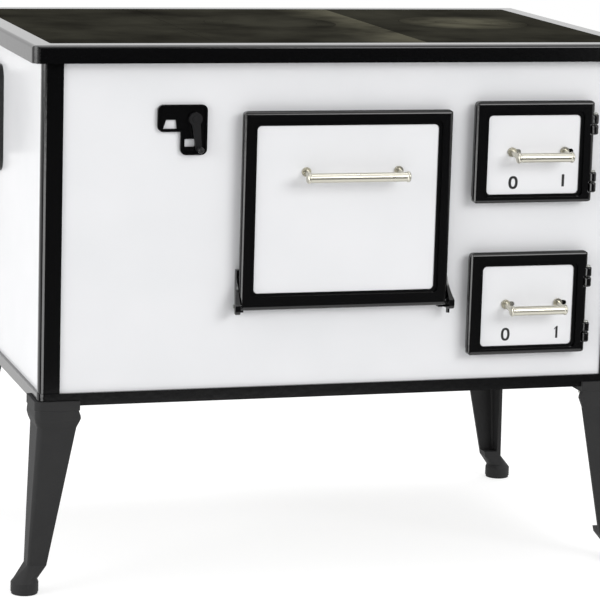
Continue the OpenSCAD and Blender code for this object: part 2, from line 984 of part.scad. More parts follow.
module oven_door_frame() {
    color(enamel_black)
        difference() {
            union() {
                difference() {
                    door_casting(oven, oven_foot);
                    // The back of the lower edge is cut away, so that it can turn
                    block([oven[0] - 1, oven_axis_y, oven[1] - 1],
                          [oven[0] + oven[2] + 1, door_back + 1, oven_axis_z]);
                }
                // Roll round the hinge line
                rod([oven[0], oven_axis_y, oven_axis_z], oven[2], door_t / 2 - fit, along_x);
            }
            for (x = [oven[0] - 1, oven[0] + oven[2] - oven_pin_in])
                rod([x, oven_axis_y, oven_axis_z], oven_pin_in + 1, bore_r, along_x);
        }
}

oven_pin_in = 14;

module oven_door_panel() {
    color(enamel_white)
        on_front(skin_back, skin_t)
            round_rect(shrink(oven, rim_w + fit, oven_foot + fit, rim_w + fit), inset_r - fit);
}

module oven_door_liner() {
    color(oven_grey)
        difference() {
            on_front(inner_face + 2, inner_face + 2 - door_back)
                round_rect(grow(oven_hole, -plug_gap), 6);
            on_front(inner_face + 3, 3)
                round_rect(grow(oven_hole, -plug_gap - 22), 10);
        }
}

module oven_door_handle() {
    color(chrome) {
        bow_handle(oven_grip[0], oven_grip[1], oven_bar_l, oven_bolt_gap, skin_face);
        for (s = [-1, 1])
            rosette(oven_grip[0] + s * oven_bolt_gap / 2, oven_grip[1] + bar_drop, skin_face);
    }
}

// Barrel of a small hinge, centred on the height z, with rounded ends
module knuckle(z) {
    edge = 2.4;
    translate([small_axis_x, small_axis_y, z - knuckle_l / 2])
        rotate_extrude() {
            square([knuckle_r - edge, knuckle_l]);
            translate([0, edge])
                square([knuckle_r, knuckle_l - 2 * edge]);
            for (end = [edge, knuckle_l - edge])
                translate([knuckle_r - edge, end])
                    circle(edge);
        }
}

// Half of a small hinge on the surround: a knuckle on an arm from the panel frame
module surround_knuckle(z) {
    arm = knuckle_l / 2 - 1.5;
    difference() {
        union() {
            knuckle(z);
            block([small_axis_x - knuckle_r, small_axis_y, z - arm], [small_axis_x + 3, face, z + arm]);
            block([small_axis_x - knuckle_r - surround_inset, door_back, z - arm],
                  [small_axis_x, face, z + arm]);
        }
        rod([small_axis_x, small_axis_y, z - knuckle_l], 2 * knuckle_l, bore_r, along_z);
    }
}

// The door's half stands on top of the surround's half
knuckle_gap = 0.4;
knuckle_step = knuckle_l + knuckle_gap;

module small_surround(r, hole, knuckles) {
    surround(r, hole)
        for (z = knuckles)
            surround_knuckle(r[1] + z - knuckle_step / 2);
}

module fire_surround() {
    color(enamel_black)
        small_surround(fire, fire_hole, fire_knuckles);
}

module ash_surround() {
    color(enamel_black)
        small_surround(ash, ash_hole, ash_knuckles);
}

slot_n = 5;
slot_w = 8;
slot_pitch = 2 * slide_travel;

module air_slots(r, y, depth, shift) {
    for (i = [0 : slot_n - 1])
        on_front(y, depth)
            translate([r[0] + r[2] / 2 + (i - (slot_n - 1) / 2) * slot_pitch + shift, r[1]])
                round_rect([-slot_w / 2, r[3] * 0.3, slot_w, r[3] * 0.42], slot_w / 2 - 0.1);
}

module small_door_frame(r, knuckles) {
    difference() {
        union() {
            difference() {
                door_casting(r, small_foot);
                // Room for the surround's knuckles
                for (z = knuckles)
                    block([small_axis_x - knuckle_r - 1.5, door_front - 1,
                           r[1] + z - knuckle_step / 2 - knuckle_l / 2 - knuckle_gap],
                          [small_axis_x + 10, door_back + 1,
                           r[1] + z - knuckle_step / 2 + knuckle_l / 2 + knuckle_gap]);
            }
            for (z = knuckles) {
                z_mid = r[1] + z + knuckle_step / 2;
                arm = knuckle_l / 2 - 1.5;
                knuckle(z_mid);
                block([small_axis_x - 10, small_axis_y - 2.5, z_mid - arm],
                      [small_axis_x, small_axis_y + 5, z_mid + arm]);
            }
        }
        for (z = knuckles) {
            rod([small_axis_x, small_axis_y, r[1] + z], knuckle_l + 2, bore_r, along_z);
            // Room for the pin's head
            rod([small_axis_x, small_axis_y, r[1] + z + knuckle_l + knuckle_gap / 2], pin_head_h + 1,
                pin_head_r + 0.5, along_z);
        }
        // Chamber for the air slide, the slots behind it and the air inlets under the rim
        on_front(web_face, slide_t + 2 * slide_gap + 1)
            round_rect(slide_chamber(r), 2);
        air_slots(r, door_back + 1, web_t + 2, 0);
        for (i = [-1, 0, 1])
            block([r[0] + r[2] / 2 + i * 38 - 14, skin_back + 0.3, r[1] - 1],
                  [r[0] + r[2] / 2 + i * 38 + 14, web_face - 0.3, r[1] + small_foot + 10]);
    }
}

// The chamber leaves a ledge all round that the white panel rests on
chamber_ledge = 6;
function slide_chamber(r) =
    shrink(r, rim_w + chamber_ledge, small_foot + chamber_ledge, rim_w + chamber_ledge);

module fire_door_frame() {
    color(enamel_black)
        small_door_frame(fire, fire_knuckles);
}

module ash_door_frame() {
    color(enamel_black)
        small_door_frame(ash, ash_knuckles);
}

small_bolt_gap = 78;
stud_r = 2.6;
stud_slack = 1;

function small_grip(r) = [r[0] + r[2] / 2 + small_bar_dx, r[1] + small_grip_z];

module small_door_panel(r) {
    grip = small_grip(r);
    half = stud_r + stud_slack;
    color(enamel_white)
        difference() {
            on_front(skin_back, skin_t)
                round_rect(shrink(r, rim_w + fit, small_foot + fit, rim_w + fit), inset_r - fit);
            for (s = [-1, 1])
                on_front(skin_back + 1, skin_t + 2)
                    round_rect([grip[0] + s * small_bolt_gap / 2 - half, grip[1] + bar_drop - half,
                                2 * half + slide_travel, 2 * half], half - 0.05);
        }
}

module fire_door_panel() {
    small_door_panel(fire);
}

module ash_door_panel() {
    small_door_panel(ash);
}

// Sliding shutter; at rest its slots lie between the slots of the web
module air_slide(r) {
    chamber = slide_chamber(r);
    side = 0.5;
    color(steel)
        difference() {
            on_front(web_face - slide_gap, slide_t)
                round_rect([chamber[0] + side, chamber[1] + side,
                            chamber[2] - slide_travel - 2 * side, chamber[3] - 2 * side], 2);
            air_slots(r, web_face + 1, slide_t + 3, -slide_travel);
        }
}

module fire_air_slide() {
    air_slide(fire);
}

module ash_air_slide() {
    air_slide(ash);
}

module small_handle(r) {
    grip = small_grip(r);
    color(chrome) {
        bow_handle(grip[0], grip[1], small_bar_l, small_bolt_gap, skin_face - slide_gap);
        for (s = [-1, 1]) {
            rosette(grip[0] + s * small_bolt_gap / 2, grip[1] + bar_drop, skin_face - slide_gap);
            // Stud through the slot to the shutter
            rod([grip[0] + s * small_bolt_gap / 2, skin_face - slide_gap - 1, grip[1] + bar_drop],
                slide_face - skin_face + slide_gap + 1, stud_r, along_y);
        }
    }
}

module fire_door_handle() {
    small_handle(fire);
}

module ash_door_handle() {
    small_handle(ash);
}

// Heat shield behind the fire door: a pan with its open side towards the door
module fire_door_baffle() {
    color(iron)
        difference() {
            on_front(inner_face + 2, inner_face + 2 - door_back)
                round_rect(grow(fire_hole, -plug_gap), 6);
            on_front(inner_face - 2, 30)
                round_rect(grow(fire_hole, -plug_gap - 4), 4);
            air_slots(fire, inner_face + 3, 10, slide_travel);
        }
}

pin_head_r = pin_r + 1.8;
pin_head_h = 2.2;

// Pins of the small hinges have a round head on top; those of the oven door are plain
module hinge_pins() {
    color(steel) {
        for (door = [[fire, fire_knuckles], [ash, ash_knuckles]], z = door[1])
            translate([small_axis_x, small_axis_y, door[0][1] + z - knuckle_step]) {
                cylinder(h = 2 * knuckle_step + 0.6, r = pin_r);
                translate([0, 0, 2 * knuckle_step])
                    cylinder(h = pin_head_h, r1 = pin_head_r, r2 = pin_r + 0.6);
            }
        for (x = [oven[0] - ear_gap - ear_w + 1, oven[0] + oven[2] - oven_pin_in + 1])
            rod([x, oven_axis_y, oven_axis_z], ear_w + ear_gap + oven_pin_in - 2, pin_r, along_x);
    }
}

module surround_screws() {
    color(steel)
        for (r = [oven, fire, ash])
            screw_places(r) {
                rod([0, door_back + 1, 0], surround_t - 1 + sheet_t + casing_t, screw_d / 2 - 0.1, along_y);
                translate([0, door_back + 0.3, 0])
                    rotate(along_y)
                        cylinder(h = 2.5, r1 = screw_d * 0.92 - 0.2, r2 = screw_d / 2 - 0.1);
            }
}

// ---------- Oven ----------

module oven_box() {
    color(oven_grey)
        difference() {
            union() {
                on_front(oven_back, oven_d)
                    round_rect(grow(oven_inner, oven_wall), 6);
                on_front(inner_face + oven_wall, oven_wall)
                    round_rect(grow(oven_inner, 12), 4);
            }
            on_front(oven_back - oven_wall, oven_d)
                round_rect(oven_inner, 4);
            screw_places(oven)
                rod([0, inner_face - 1, 0], 10, screw_d / 2 + fit, along_y);
        }
}

runner_w = 9;
runner_t = 2;
runner_h = 10;
runner_levels = [70, 140];

// Angle strips on the oven's side walls that the shelf slides on
module oven_runners() {
    color(steel)
        for (level = runner_levels, s = [0, 1])
            translate([s == 0 ? oven_inner[0] : oven_inner[0] + oven_inner[2], 0, oven_inner[1] + level])
                mirror([s, 0, 0]) {
                    block([0, inner_face + 25, 0], [runner_t, oven_back - 20, runner_h]);
                    block([0, inner_face + 25, 0], [runner_w, oven_back - 20, runner_t]);
                }
}

shelf_rod_r = 3;
shelf_wire_r = 2;
shelf_wires = 15;

module oven_shelf() {
    z = oven_inner[1] + runner_levels[0] + runner_t + shelf_rod_r + 0.05;
    side = runner_t + shelf_rod_r + 0.6;
    x_from = oven_inner[0] + side;
    x_to = oven_inner[0] + oven_inner[2] - side;
    y_from = inner_face + 20;
    y_to = oven_back - 12;
    color(chrome) {
        for (x = [x_from, x_to])
            rod([x, y_from, z], y_to - y_from, shelf_rod_r, along_y);
        for (y = [y_from, y_to])
            rod([x_from, y, z], x_to - x_from, shelf_rod_r, along_x);
        for (x = [x_from, x_to], y = [y_from, y_to])
            translate([x, y, z])
                sphere(shelf_rod_r);
        for (i = [1 : shelf_wires])
            rod([x_from, y_from + i * (y_to - y_from) / (shelf_wires + 1), z], x_to - x_from,
                shelf_wire_r, along_x);
    }
}

// ---------- Fire side ----------

outer_left = casing_left - casing_t;
outer_right = casing_right + casing_t;

// Side walls, back and ash floor
module firebox_casing() {
    front_y = casing_front + casing_t;
    color(iron)
        difference() {
            union() {
                difference() {
                    block([outer_left, front_y, rail_z],
                          [outer_right, casing_back + casing_t, casing_top]);
                    block([casing_left, front_y - 1, rail_z - 1],
                          [casing_right, casing_back, casing_top + 1]);
                }
                // Ash floor, just behind the sleeve of the ash door's surround
                block([casing_left - eps, inner_face + sleeve_l + fit, pan_floor - casing_t],
                      [casing_right + eps, casing_back + eps, pan_floor]);
            }
            // Way for the hot gas over the oven
            block([outer_left - 1, casing_front + 30, brick_top],
                  [casing_left + 1, casing_back - brick_t, casing_top + 1]);
        }
}

// Front plate with the openings of the fire door and the ash door
module firebox_front() {
    color(iron)
        difference() {
            block([outer_left, casing_front, rail_z], [outer_right, casing_front + casing_t, casing_top]);
            for (r = [fire_hole, ash_hole])
                on_front(casing_front + casing_t + 1, casing_t + 2)
                    round_rect(grow(r, sleeve_t + sleeve_gap), 4);
            for (r = [fire, ash])
                screw_places(r)
                    rod([0, casing_front - 1, 0], casing_t + 2, screw_d / 2 + fit, along_y);
        }
}

// Frame between the casing's walls that carries the bricks and the grate
module grate_frame() {
    frame_t = 6;
    side = brick_t + grate_bearing;
    color(iron)
        difference() {
            block([casing_left, casing_front + casing_t, brick_z - frame_t],
                  [casing_right, casing_back, brick_z]);
            block([casing_left + side, brick_front + grate_bearing, brick_z - frame_t - 1],
                  [casing_right - side, casing_back - side, brick_z + 1]);
        }
}

// Two side bricks and the back brick, with a joint between them
module firebricks() {
    joint = 1;
    back_brick = casing_back - brick_t;
    color(firebrick) {
        for (x = [casing_left, casing_right - brick_t])
            block([x, brick_front, brick_z], [x + brick_t, back_brick - joint, brick_top]);
        block([casing_left, back_brick, brick_z], [casing_right, casing_back, brick_top]);
    }
}

grate_slots = 11;

module grate() {
    x_from = casing_left + brick_t + grate_gap;
    x_to = casing_right - brick_t - grate_gap;
    y_from = brick_front + grate_gap;
    y_to = casing_back - brick_t - grate_gap;
    rim = 12;
    bridge = 10;
    slot = 10;
    half = (y_to - y_from - 2 * rim - bridge) / 2;
    pitch = (x_to - x_from - 2 * rim + 4) / grate_slots;
    color(iron)
        difference() {
            block([x_from, y_from, brick_z], [x_to, y_to, brick_z + grate_t]);
            for (i = [0 : grate_slots - 1], j = [0, 1])
                translate([0, 0, brick_z - 1])
                    linear_extrude(grate_t + 2)
                        round_rect([x_from + rim - 2 + (i + 0.5) * pitch - slot / 2,
                                    y_from + rim + j * (half + bridge), slot, half],
                                   slot / 2 - 0.05);
        }
}

// Open pan with a rolled front handle
module ash_pan() {
    width = ash_hole[2] - 8;
    x_from = ash_hole[0] + 4;
    y_from = casing_front + casing_t + 4;
    y_to = casing_back - 20;
    color(steel) {
        difference() {
            block([x_from, y_from, pan_floor], [x_from + width, y_to, pan_floor + pan_h]);
            block([x_from + pan_t, y_from + pan_t, pan_floor + pan_t],
                  [x_from + width - pan_t, y_to - pan_t, pan_floor + pan_h + 1]);
        }
    }
}

// ---------- Flue ----------

flue_box_front = flue_axis[0] - flue_box_w / 2;
flue_box_back = flue_axis[0] + flue_box_w / 2;
flue_box_left = left + post_t + sheet_t;
flap_t = 3;
flap_gap = 1;
flue_box_right = spindle_x + spindle_r + flap_t + flap_gap + flue_sheet;

inlet_edge = 25;

// Shelf across the left chamber; gas reaches the flue box through it from below
module flue_baffle() {
    color(steel)
        difference() {
            block([flue_box_left, inner_face + oven_wall, flue_floor - flue_sheet],
                  [oven_inner[0] - oven_wall, back - post_t - sheet_t, flue_floor]);
            // Notches round the tie bolts
            for (sy = [0, 1])
                corner(0, sy)
                    translate([0, 0, flue_floor - 5])
                        cube([tie_inset + bolt_d / 2 + 3, tie_inset + bolt_d / 2 + 3, 6]);
            block([flue_box_left + inlet_edge, flue_box_front + inlet_edge, flue_floor - 5],
                  [flue_box_right - 2 * inlet_edge, flue_box_back - inlet_edge, flue_floor + 1]);
        }
}

// Sheet box between the flue spigot and the damper's window, open underneath
module flue_box() {
    color(steel)
        difference() {
            block([flue_box_left, flue_box_front, flue_floor],
                  [flue_box_right, flue_box_back, flue_floor + flue_box_h]);
            block([flue_box_left + flue_sheet, flue_box_front + flue_sheet, flue_floor - 1],
                  [flue_box_right - flue_sheet, flue_box_back - flue_sheet,
                   flue_floor + flue_box_h - flue_sheet]);
            rod([flue_box_left - 1, flue_axis[0], flue_axis[1]], 10, flue_d / 2 + 0.5, along_x);
            block([flue_box_right - 4, flue_box_front + 14, flue_floor + 20],
                  [flue_box_right + 1, flue_box_back - 14, spindle_z - 12]);
            rod([spindle_x, flue_box_front - 1, spindle_z], flue_box_w + 2, spindle_r + run_gap,
                along_y);
            flange_bolt_places()
                rod([left, 0, 0], 20, 3 + fit, along_x);
        }
}

module flue_collar() {
    out_face = left + post_t - flange_t;
    inner_end = flue_box_left + flue_sheet + 4;
    color(enamel_black)
        difference() {
            union() {
                on_side(out_face, flange_t)
                    round_rect([flue_axis[0] - flange_w / 2, flue_axis[1] - flange_w / 2,
                                flange_w, flange_w], 20);
                rod([left - flue_reach, flue_axis[0], flue_axis[1]],
                    inner_end - left + flue_reach, flue_d / 2, along_x);
            }
            rod([left - flue_reach - 1, flue_axis[0], flue_axis[1]],
                inner_end - left + flue_reach + 2, flue_d / 2 - flue_wall, along_x);
            flange_bolt_places()
                rod([left - 20, 0, 0], 40, 3 + fit, along_x);
        }
}

module flue_collar_bolts() {
    color(steel)
        flange_bolt_places() {
            rod([left + post_t - flange_t, 0, 0], flange_t + sheet_t + flue_sheet + 6, 3, along_x);
            rod([left + post_t - flange_t - 4, 0, 0], 4, 5.5, along_x, $fn = 6);
        }
}

// ---------- Damper ----------

damper_stud_r = 2.5;

module damper_stud_places() {
    for (p = [[-45, 10], [10, -41]])
        translate([spindle_x + p[0], 0, spindle_z + p[1]])
            children();
}

// The L is two rectangles that share their upper right corner
damper_right = 17.5;
damper_high = 19;
damper_arm = [69, 36.5];
damper_leg = [37, 68];

module damper_outline(inset) {
    for (size = [damper_arm, damper_leg])
        round_rect(grow([spindle_x + damper_right - size[0], spindle_z + damper_high - size[1],
                         size[0], size[1]], -inset), 8 - inset);
}

module damper_windows() {
    translate([spindle_x, spindle_z]) {
        polygon([[-43.5, -13.5], [-24.5, -13.5], [-26, -1.5], [-39.5, -1.5]]);
        round_rect([-13.5, -38, 14, 10.5], 1.5);
    }
}

// L-shaped plate with a raised edge and two windows; studs on its back pass through the panel
module damper_plate() {
    color(enamel_black)
        difference() {
            union() {
                difference() {
                    on_front(face, damper_t)
                        damper_outline(0);
                    on_front(face - damper_t + 2, 4)
                        damper_outline(3);
                }
                rod([spindle_x, face - damper_t - damper_boss_t + 2, spindle_z],
                    damper_t + damper_boss_t - 2, spindle_r + 5, along_y);
                damper_stud_places()
                    rod([0, face - 1, 0], sheet_t + 6, damper_stud_r, along_y);
            }
            on_front(face + 1, damper_t + 2)
                damper_windows();
            rod([spindle_x, face - 20, spindle_z], 40, spindle_r + run_gap, along_y);
        }
}

lever_back = face - damper_t - damper_boss_t + 2 - fit;
lever_t = 4;
lever_l = 41;
lever_tilt = 7;

module damper_lever() {
    color(enamel_black)
        translate([spindle_x, lever_back, spindle_z])
            rotate([90, 0, 0]) {
                linear_extrude(lever_t)
                    rotate(lever_tilt)
                        difference() {
                            union() {
                                circle(9);
                                polygon([[-6, 0], [-4, -lever_l], [4, -lever_l], [6, 0]]);
                                translate([0, -lever_l])
                                    circle(4);
                            }
                            circle(spindle_r - 1);
                        }
                // Finger knob at the tip
                rotate(lever_tilt)
                    translate([0, -lever_l, 0]) {
                        cylinder(h = lever_t + 9, r = 3.2);
                        translate([0, 0, lever_t + 9])
                            sphere(4.6);
                    }
            }
}

module damper_spindle() {
    tail = 6;
    color(steel) {
        rod([spindle_x, lever_back, spindle_z], flue_box_back + tail - lever_back, spindle_r,
            along_y);
        rod([spindle_x, lever_back - lever_t - 1.5, spindle_z], lever_t + 2, spindle_r - 1,
            along_y);
    }
}

module damper_flap() {
    side = 5;
    color(iron)
        difference() {
            union() {
                block([spindle_x + spindle_r, flue_box_front + side, spindle_z - flap_l],
                      [spindle_x + spindle_r + flap_t, flue_box_back - side, spindle_z]);
                rod([spindle_x, flue_box_front + side, spindle_z], flue_box_w - 2 * side,
                    spindle_r + flap_t, along_y);
            }
            rod([spindle_x, flue_box_front, spindle_z], flue_box_w, spindle_r, along_y);
        }
}

base_frame();
bottom_plate();
leg_front_left();
leg_front_right();
leg_rear_left();
leg_rear_right();
frame_bolts();
post_front_left();
post_front_right();
post_rear_left();
post_rear_right();
front_panel();
left_panel();
right_panel();
back_panel();
top_frame();
plate_bearers();
hot_plate_left();
hot_plate_middle();
hot_plate_right();
middle_ring();
middle_lid();
right_outer_ring();
right_inner_ring();
right_lid();
oven_surround();
oven_box();
oven_runners();
oven_shelf();
oven_door_frame();
oven_door_panel();
oven_door_liner();
oven_door_handle();
fire_surround();
fire_door_frame();
fire_door_panel();
fire_door_baffle();
fire_door_handle();
fire_air_slide();
ash_surround();
ash_door_frame();
ash_door_panel();
ash_door_handle();
ash_air_slide();
hinge_pins();
surround_screws();
firebox_casing();
firebox_front();
grate_frame();
firebricks();
grate();
ash_pan();
flue_baffle();
flue_box();
flue_collar();
flue_collar_bolts();
damper_plate();
damper_lever();
damper_spindle();
damper_flap();
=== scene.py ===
# %% [markdown]
# # A solid-fuel range cooker, dressed in Blender
#
# The cooker's solids come from CAD and already have their real sizes. This lesson gives them the
# finishes of the real pieces, adds what is too thin for CAD, and sets up a plain studio.
# Everything is in metres, X to the cooker's right, Y to its back and Z up from the floor.

# %% Load the solids
import json
import math
import bmesh
import bpy
from mathutils import Matrix, Vector


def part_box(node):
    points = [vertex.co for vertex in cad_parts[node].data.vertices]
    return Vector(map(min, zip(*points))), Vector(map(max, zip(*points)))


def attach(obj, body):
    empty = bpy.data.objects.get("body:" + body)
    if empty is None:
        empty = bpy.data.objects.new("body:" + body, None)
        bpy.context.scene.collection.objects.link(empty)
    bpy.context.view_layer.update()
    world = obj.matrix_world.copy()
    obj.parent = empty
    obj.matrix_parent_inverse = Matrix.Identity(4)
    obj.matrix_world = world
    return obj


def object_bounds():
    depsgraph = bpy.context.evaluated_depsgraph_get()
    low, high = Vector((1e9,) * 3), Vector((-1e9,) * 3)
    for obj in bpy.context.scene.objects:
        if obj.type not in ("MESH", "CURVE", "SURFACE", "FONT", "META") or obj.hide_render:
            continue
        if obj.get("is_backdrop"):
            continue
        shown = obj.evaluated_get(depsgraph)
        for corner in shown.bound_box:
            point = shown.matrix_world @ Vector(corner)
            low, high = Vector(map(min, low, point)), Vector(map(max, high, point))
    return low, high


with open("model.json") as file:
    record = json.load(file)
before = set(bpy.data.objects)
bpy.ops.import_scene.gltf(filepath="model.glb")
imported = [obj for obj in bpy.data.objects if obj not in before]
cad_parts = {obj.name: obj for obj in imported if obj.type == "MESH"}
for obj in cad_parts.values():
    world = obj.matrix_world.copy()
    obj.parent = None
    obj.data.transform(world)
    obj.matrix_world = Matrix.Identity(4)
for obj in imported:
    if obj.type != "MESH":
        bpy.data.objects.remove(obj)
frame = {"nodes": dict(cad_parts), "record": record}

nodes = frame["nodes"]
cad_low, cad_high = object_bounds()
print("Size in mm:", [round(1000 * v) for v in cad_high - cad_low])

# %% [markdown]
# ## Helpers
#
# Colours are written as sRGB hex values, as a paint chart or an image editor shows them. Blender
# works with linear light, so one function turns them over. Lengths in a pattern are written in
# millimetres and turned to the scale that a texture node wants, which is repeats per metre.

# %% Colour and length helpers
def linear(code, alpha=1.0):
    """An sRGB hex colour as linear red, green, blue and alpha."""
    parts = [int(code[i:i + 2], 16) / 255 for i in (1, 3, 5)]
    light = [p / 12.92 if p <= 0.04045 else ((p + 0.055) / 1.055) ** 2.4 for p in parts]
    return (*light, alpha)


def per_metre(millimetres):
    """The texture scale whose features are this wide."""
    return 1000.0 / millimetres


# %% [markdown]
# A material is a small graph of nodes. One function adds a node, sets its fields, and either
# fills each of its inputs with a value or joins it to another node's output.

# %% Node helper
def add(tree, kind, inputs=None, **fields):
    """Adds a shader node; inputs maps a socket's name or number to a value or an output."""
    made = tree.nodes.new("ShaderNode" + kind)
    for field, value in fields.items():
        setattr(made, field, value)
    for socket, value in (inputs or {}).items():
        if isinstance(value, bpy.types.NodeSocket):
            tree.links.new(value, made.inputs[socket])
        else:
            made.inputs[socket].default_value = value
    return made


def new_finish(name, colour, metallic, roughness):
    """Returns a new material, its graph, its shader and the object's own coordinates in metres."""
    material = bpy.data.materials.new(name)
    material.use_nodes = True
    tree = material.node_tree
    shader = tree.nodes["Principled BSDF"]
    shader.inputs["Base Color"].default_value = linear(colour)
    shader.inputs["Metallic"].default_value = metallic
    shader.inputs["Roughness"].default_value = roughness
    place = add(tree, "TexCoord").outputs["Object"]
    return material, tree, shader, place


def between(tree, factor, low, high):
    """A colour that runs from low to high with the factor."""
    mix = add(tree, "Mix", {0: factor, 6: linear(low), 7: linear(high)}, data_type="RGBA")
    return mix.outputs[2]


def dented(tree, shader, heights):
    """Chains bumps on a shader: each has a height, its depth in millimetres and its strength."""
    normal = None
    for height, depth_mm, strength in heights:
        inputs = {"Height": height, "Distance": depth_mm / 1000, "Strength": strength}
        if normal is not None:
            inputs["Normal"] = normal
        normal = add(tree, "Bump", inputs).outputs["Normal"]
    tree.links.new(normal, shader.inputs["Normal"])


# %% [markdown]
# Whatever the lesson adds is put into the scene's collection by one function.

# %% Object helper
def put(name, data):
    """A new object in the scene."""
    made = bpy.data.objects.new(name, data)
    bpy.context.scene.collection.objects.link(made)
    return made


# %% [markdown]
# ## Stove enamel
#
# Stove enamel is glass, fused to sheet steel or cast iron at some 820 degrees. It could be a plain
# glossy paint, but the melt leaves a slow ripple that bends every reflection, and that ripple is
# what tells enamel from lacquer. A sheet panel ripples gently over about 14 mm. On castings the
# skin of the iron prints through, so the waves are shorter and deeper. The white panels mirror
# less than the black enamel does, since the photograph shows only a faint image of the flue spigot
# in the left one.

# %% Enamel
ENAMEL_IOR = 1.52


def stove_enamel(name, colour, shade, ripple_mm, depth_mm, roughness, mirror=0.5):
    """Glossy enamel; mirror is Blender's specular level, and 0.5 is that of plain glass."""
    material, tree, shader, place = new_finish(name, colour, 0.0, roughness)
    shader.inputs["IOR"].default_value = ENAMEL_IOR
    shader.inputs["Specular IOR Level"].default_value = mirror
    pool = add(tree, "TexNoise", {"Vector": place, "Scale": per_metre(90), "Detail": 1.0})
    tree.links.new(between(tree, pool.outputs["Fac"], colour, shade), shader.inputs["Base Color"])
    ripple = add(tree, "TexNoise", {"Vector": place, "Scale": per_metre(ripple_mm), "Detail": 1.5,
                                    "Roughness": 0.4})
    pimple = add(tree, "TexNoise", {"Vector": place, "Scale": per_metre(ripple_mm / 4),
                                    "Detail": 1.0})
    dented(tree, shader, [(ripple.outputs["Fac"], depth_mm, 0.5),
                          (pimple.outputs["Fac"], depth_mm / 5, 0.35)])
    return material


white_enamel = stove_enamel("white_stove_enamel", "#EDEDEF", "#E6E7E9", 14, 0.10, 0.24,
                            mirror=0.2)
black_enamel = stove_enamel("black_stove_enamel", "#0A0A0B", "#070708", 8, 0.12, 0.12)
print("Enamels:", white_enamel.name, black_enamel.name)

# %% [markdown]
# The oven's own enamel is a dark ground coat flecked with grey, which hides burnt-on splashes. A
# Voronoi pattern gives the distance from the nearest of many scattered points, and the grey is
# painted where that distance is short, so that each point becomes a round fleck under 1 mm across.

# %% Oven enamel
OVEN_GROUND, OVEN_FLECK = "#1C1F24", "#8E949B"
FLECK_REACH = 0.28  # as a share of the spacing of the points


def flecked_oven_enamel():
    material, tree, shader, place = new_finish("flecked_oven_enamel", OVEN_GROUND, 0.0, 0.22)
    shader.inputs["IOR"].default_value = ENAMEL_IOR
    cells = add(tree, "TexVoronoi", {"Vector": place, "Scale": per_metre(1.6)})
    fleck = add(tree, "Math", {0: cells.outputs["Distance"], 1: FLECK_REACH},
                operation="LESS_THAN")
    tree.links.new(between(tree, fleck.outputs[0], OVEN_GROUND, OVEN_FLECK),
                   shader.inputs["Base Color"])
    ripple = add(tree, "TexNoise", {"Vector": place, "Scale": per_metre(6)})
    dented(tree, shader, [(ripple.outputs["Fac"], 0.08, 0.4)])
    return material


oven_enamel = flecked_oven_enamel()

# %% [markdown]
# ## Cast iron
#
# The legs are sand castings with a flat, heat-proof coat. Sand leaves grains of 1 to 2 mm in the
# skin, which a fine noise draws as bumps, and a slow noise varies the coat a little. A coated
# casting reflects as paint does, so it isn't metallic. The firebox is bare, and browner.

# %% Sand-cast iron
ROUGH_SKIN_MIRROR = 0.2


def sand_cast(name, colour, shade, roughness, grain_mm, depth_mm):
    material, tree, shader, place = new_finish(name, colour, 0.0, roughness)
    shader.inputs["Specular IOR Level"].default_value = ROUGH_SKIN_MIRROR
    patch = add(tree, "TexNoise", {"Vector": place, "Scale": per_metre(35), "Detail": 3.0})
    tree.links.new(between(tree, patch.outputs["Fac"], colour, shade), shader.inputs["Base Color"])
    grain = add(tree, "TexNoise", {"Vector": place, "Scale": per_metre(grain_mm), "Detail": 2.0})
    swell = add(tree, "TexNoise", {"Vector": place, "Scale": per_metre(grain_mm * 6)})
    dented(tree, shader, [(swell.outputs["Fac"], depth_mm * 1.5, 0.4),
                          (grain.outputs["Fac"], depth_mm, 0.6)])
    return material


leg_iron = sand_cast("heat_coated_cast_iron", "#2F2F2F", "#272728", 0.6, 1.6, 0.25)
inner_iron = sand_cast("bare_cast_iron", "#36322F", "#2A2725", 0.7, 1.4, 0.3)
print("Castings:", leg_iron.name, inner_iron.name)

# %% [markdown]
# The lever and the spindle of the damper are cast iron too, blacked with stove polish. It is a
# thin graphite wax, so the metal stays satin. Their colour is a shade paler than the enamelled
# plate behind them, and that paler tone is partly a painted highlight for the light that the lever
# catches.

# %% Stove-blacked iron
lever_iron = sand_cast("stove_blacked_iron", "#232324", "#1B1B1C", 0.35, 1.2, 0.1)

# %% [markdown]
# The hot plates are cast iron as well, but ground flat and then blackened with oil and heat. The
# grinding leaves fine straight scratches: a noise stretched along X draws them. The rings and lids
# are turned on a lathe, so their scratches run in circles, and their noise follows only the
# distance from the middle. Real scratches are some 0.2 mm apart, too fine for the render, so they
# are drawn at 1.2 mm. The oil leaves cloudy patches that differ in colour and in shine. A painted
# sheen, a paler olive grey, stands in for the light lying on the middle of the rings and along
# the right edge of the middle plate.

# %% Ground iron
OILED_DARK, OILED_LIGHT = "#201F1B", "#36352E"
# Paler olive greys painted on as sheen, where light lies on the rings and on the middle plate.
PAINTED_SHEEN, FAINT_PAINTED_SHEEN = "#545246", "#37362F"
STRETCHED_ALONG_X = (0.03, 1.0, 1.0)
RING_SHEEN_STARTS, RING_SHEEN_FULL = 0.1, 0.04  # metres from the middle
EDGE_SHEEN_WIDTH = 0.09  # metres


